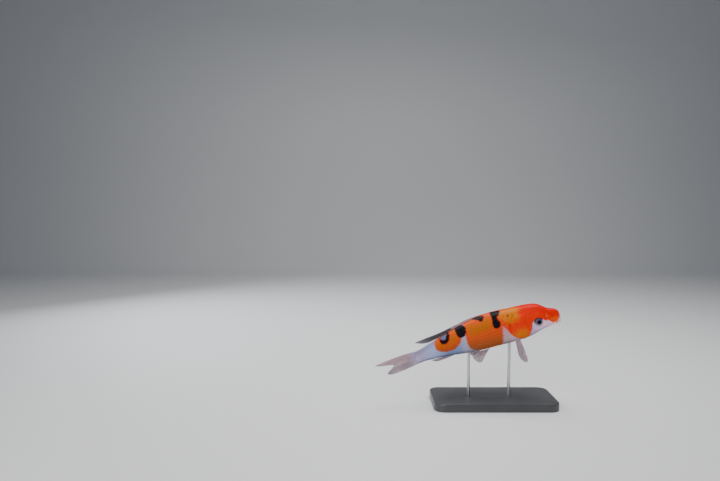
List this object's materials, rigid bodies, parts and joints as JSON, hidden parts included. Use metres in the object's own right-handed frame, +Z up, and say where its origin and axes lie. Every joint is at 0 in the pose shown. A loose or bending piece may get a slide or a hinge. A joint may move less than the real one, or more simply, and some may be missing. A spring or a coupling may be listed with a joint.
{
  "type": "koi carp",
  "caption": "Young koi carp, red, orange, white and black, swimming nose up with its tail bent, as a still life-size model on a flat base with two short rods.",
  "frame": {"origin": "centre of the stand base's underside, on the surface that the model stands on", "axes": "+X towards the fish's nose, +Y towards its left side, +Z up"},
  "size_m": [0.1892, 0.067, 0.105],
  "materials": {
    "koi_skin": "wet gloss",
    "koi_fin": "thin, wet, half clear",
    "koi_eye": "polished",
    "stand_plate": "satin",
    "stand_steel": "satin"
  },
  "bodies": {
    "root": {"head": "koi_skin", "lower_jaw": "koi_skin", "gill_cover_left": "koi_skin", "gill_cover_right": "koi_skin", "trunk_front": "koi_skin", "trunk_rear": "koi_skin", "tail_stalk": "koi_skin", "eye_left": "koi_eye", "eye_right": "koi_eye", "lip_barbel_left": "koi_skin", "lip_barbel_right": "koi_skin", "mouth_barbel_left": "koi_skin", "mouth_barbel_right": "koi_skin", "dorsal_fin": "koi_fin", "anal_fin": "koi_fin", "tail_fin": "koi_fin", "pectoral_fin_left": "koi_fin", "pectoral_fin_right": "koi_fin", "pelvic_fin_left": "koi_fin", "pelvic_fin_right": "koi_fin", "stand_base": "stand_plate", "stand_rod_front": "stand_steel", "stand_rod_rear": "stand_steel"}
  },
  "joints": []
}
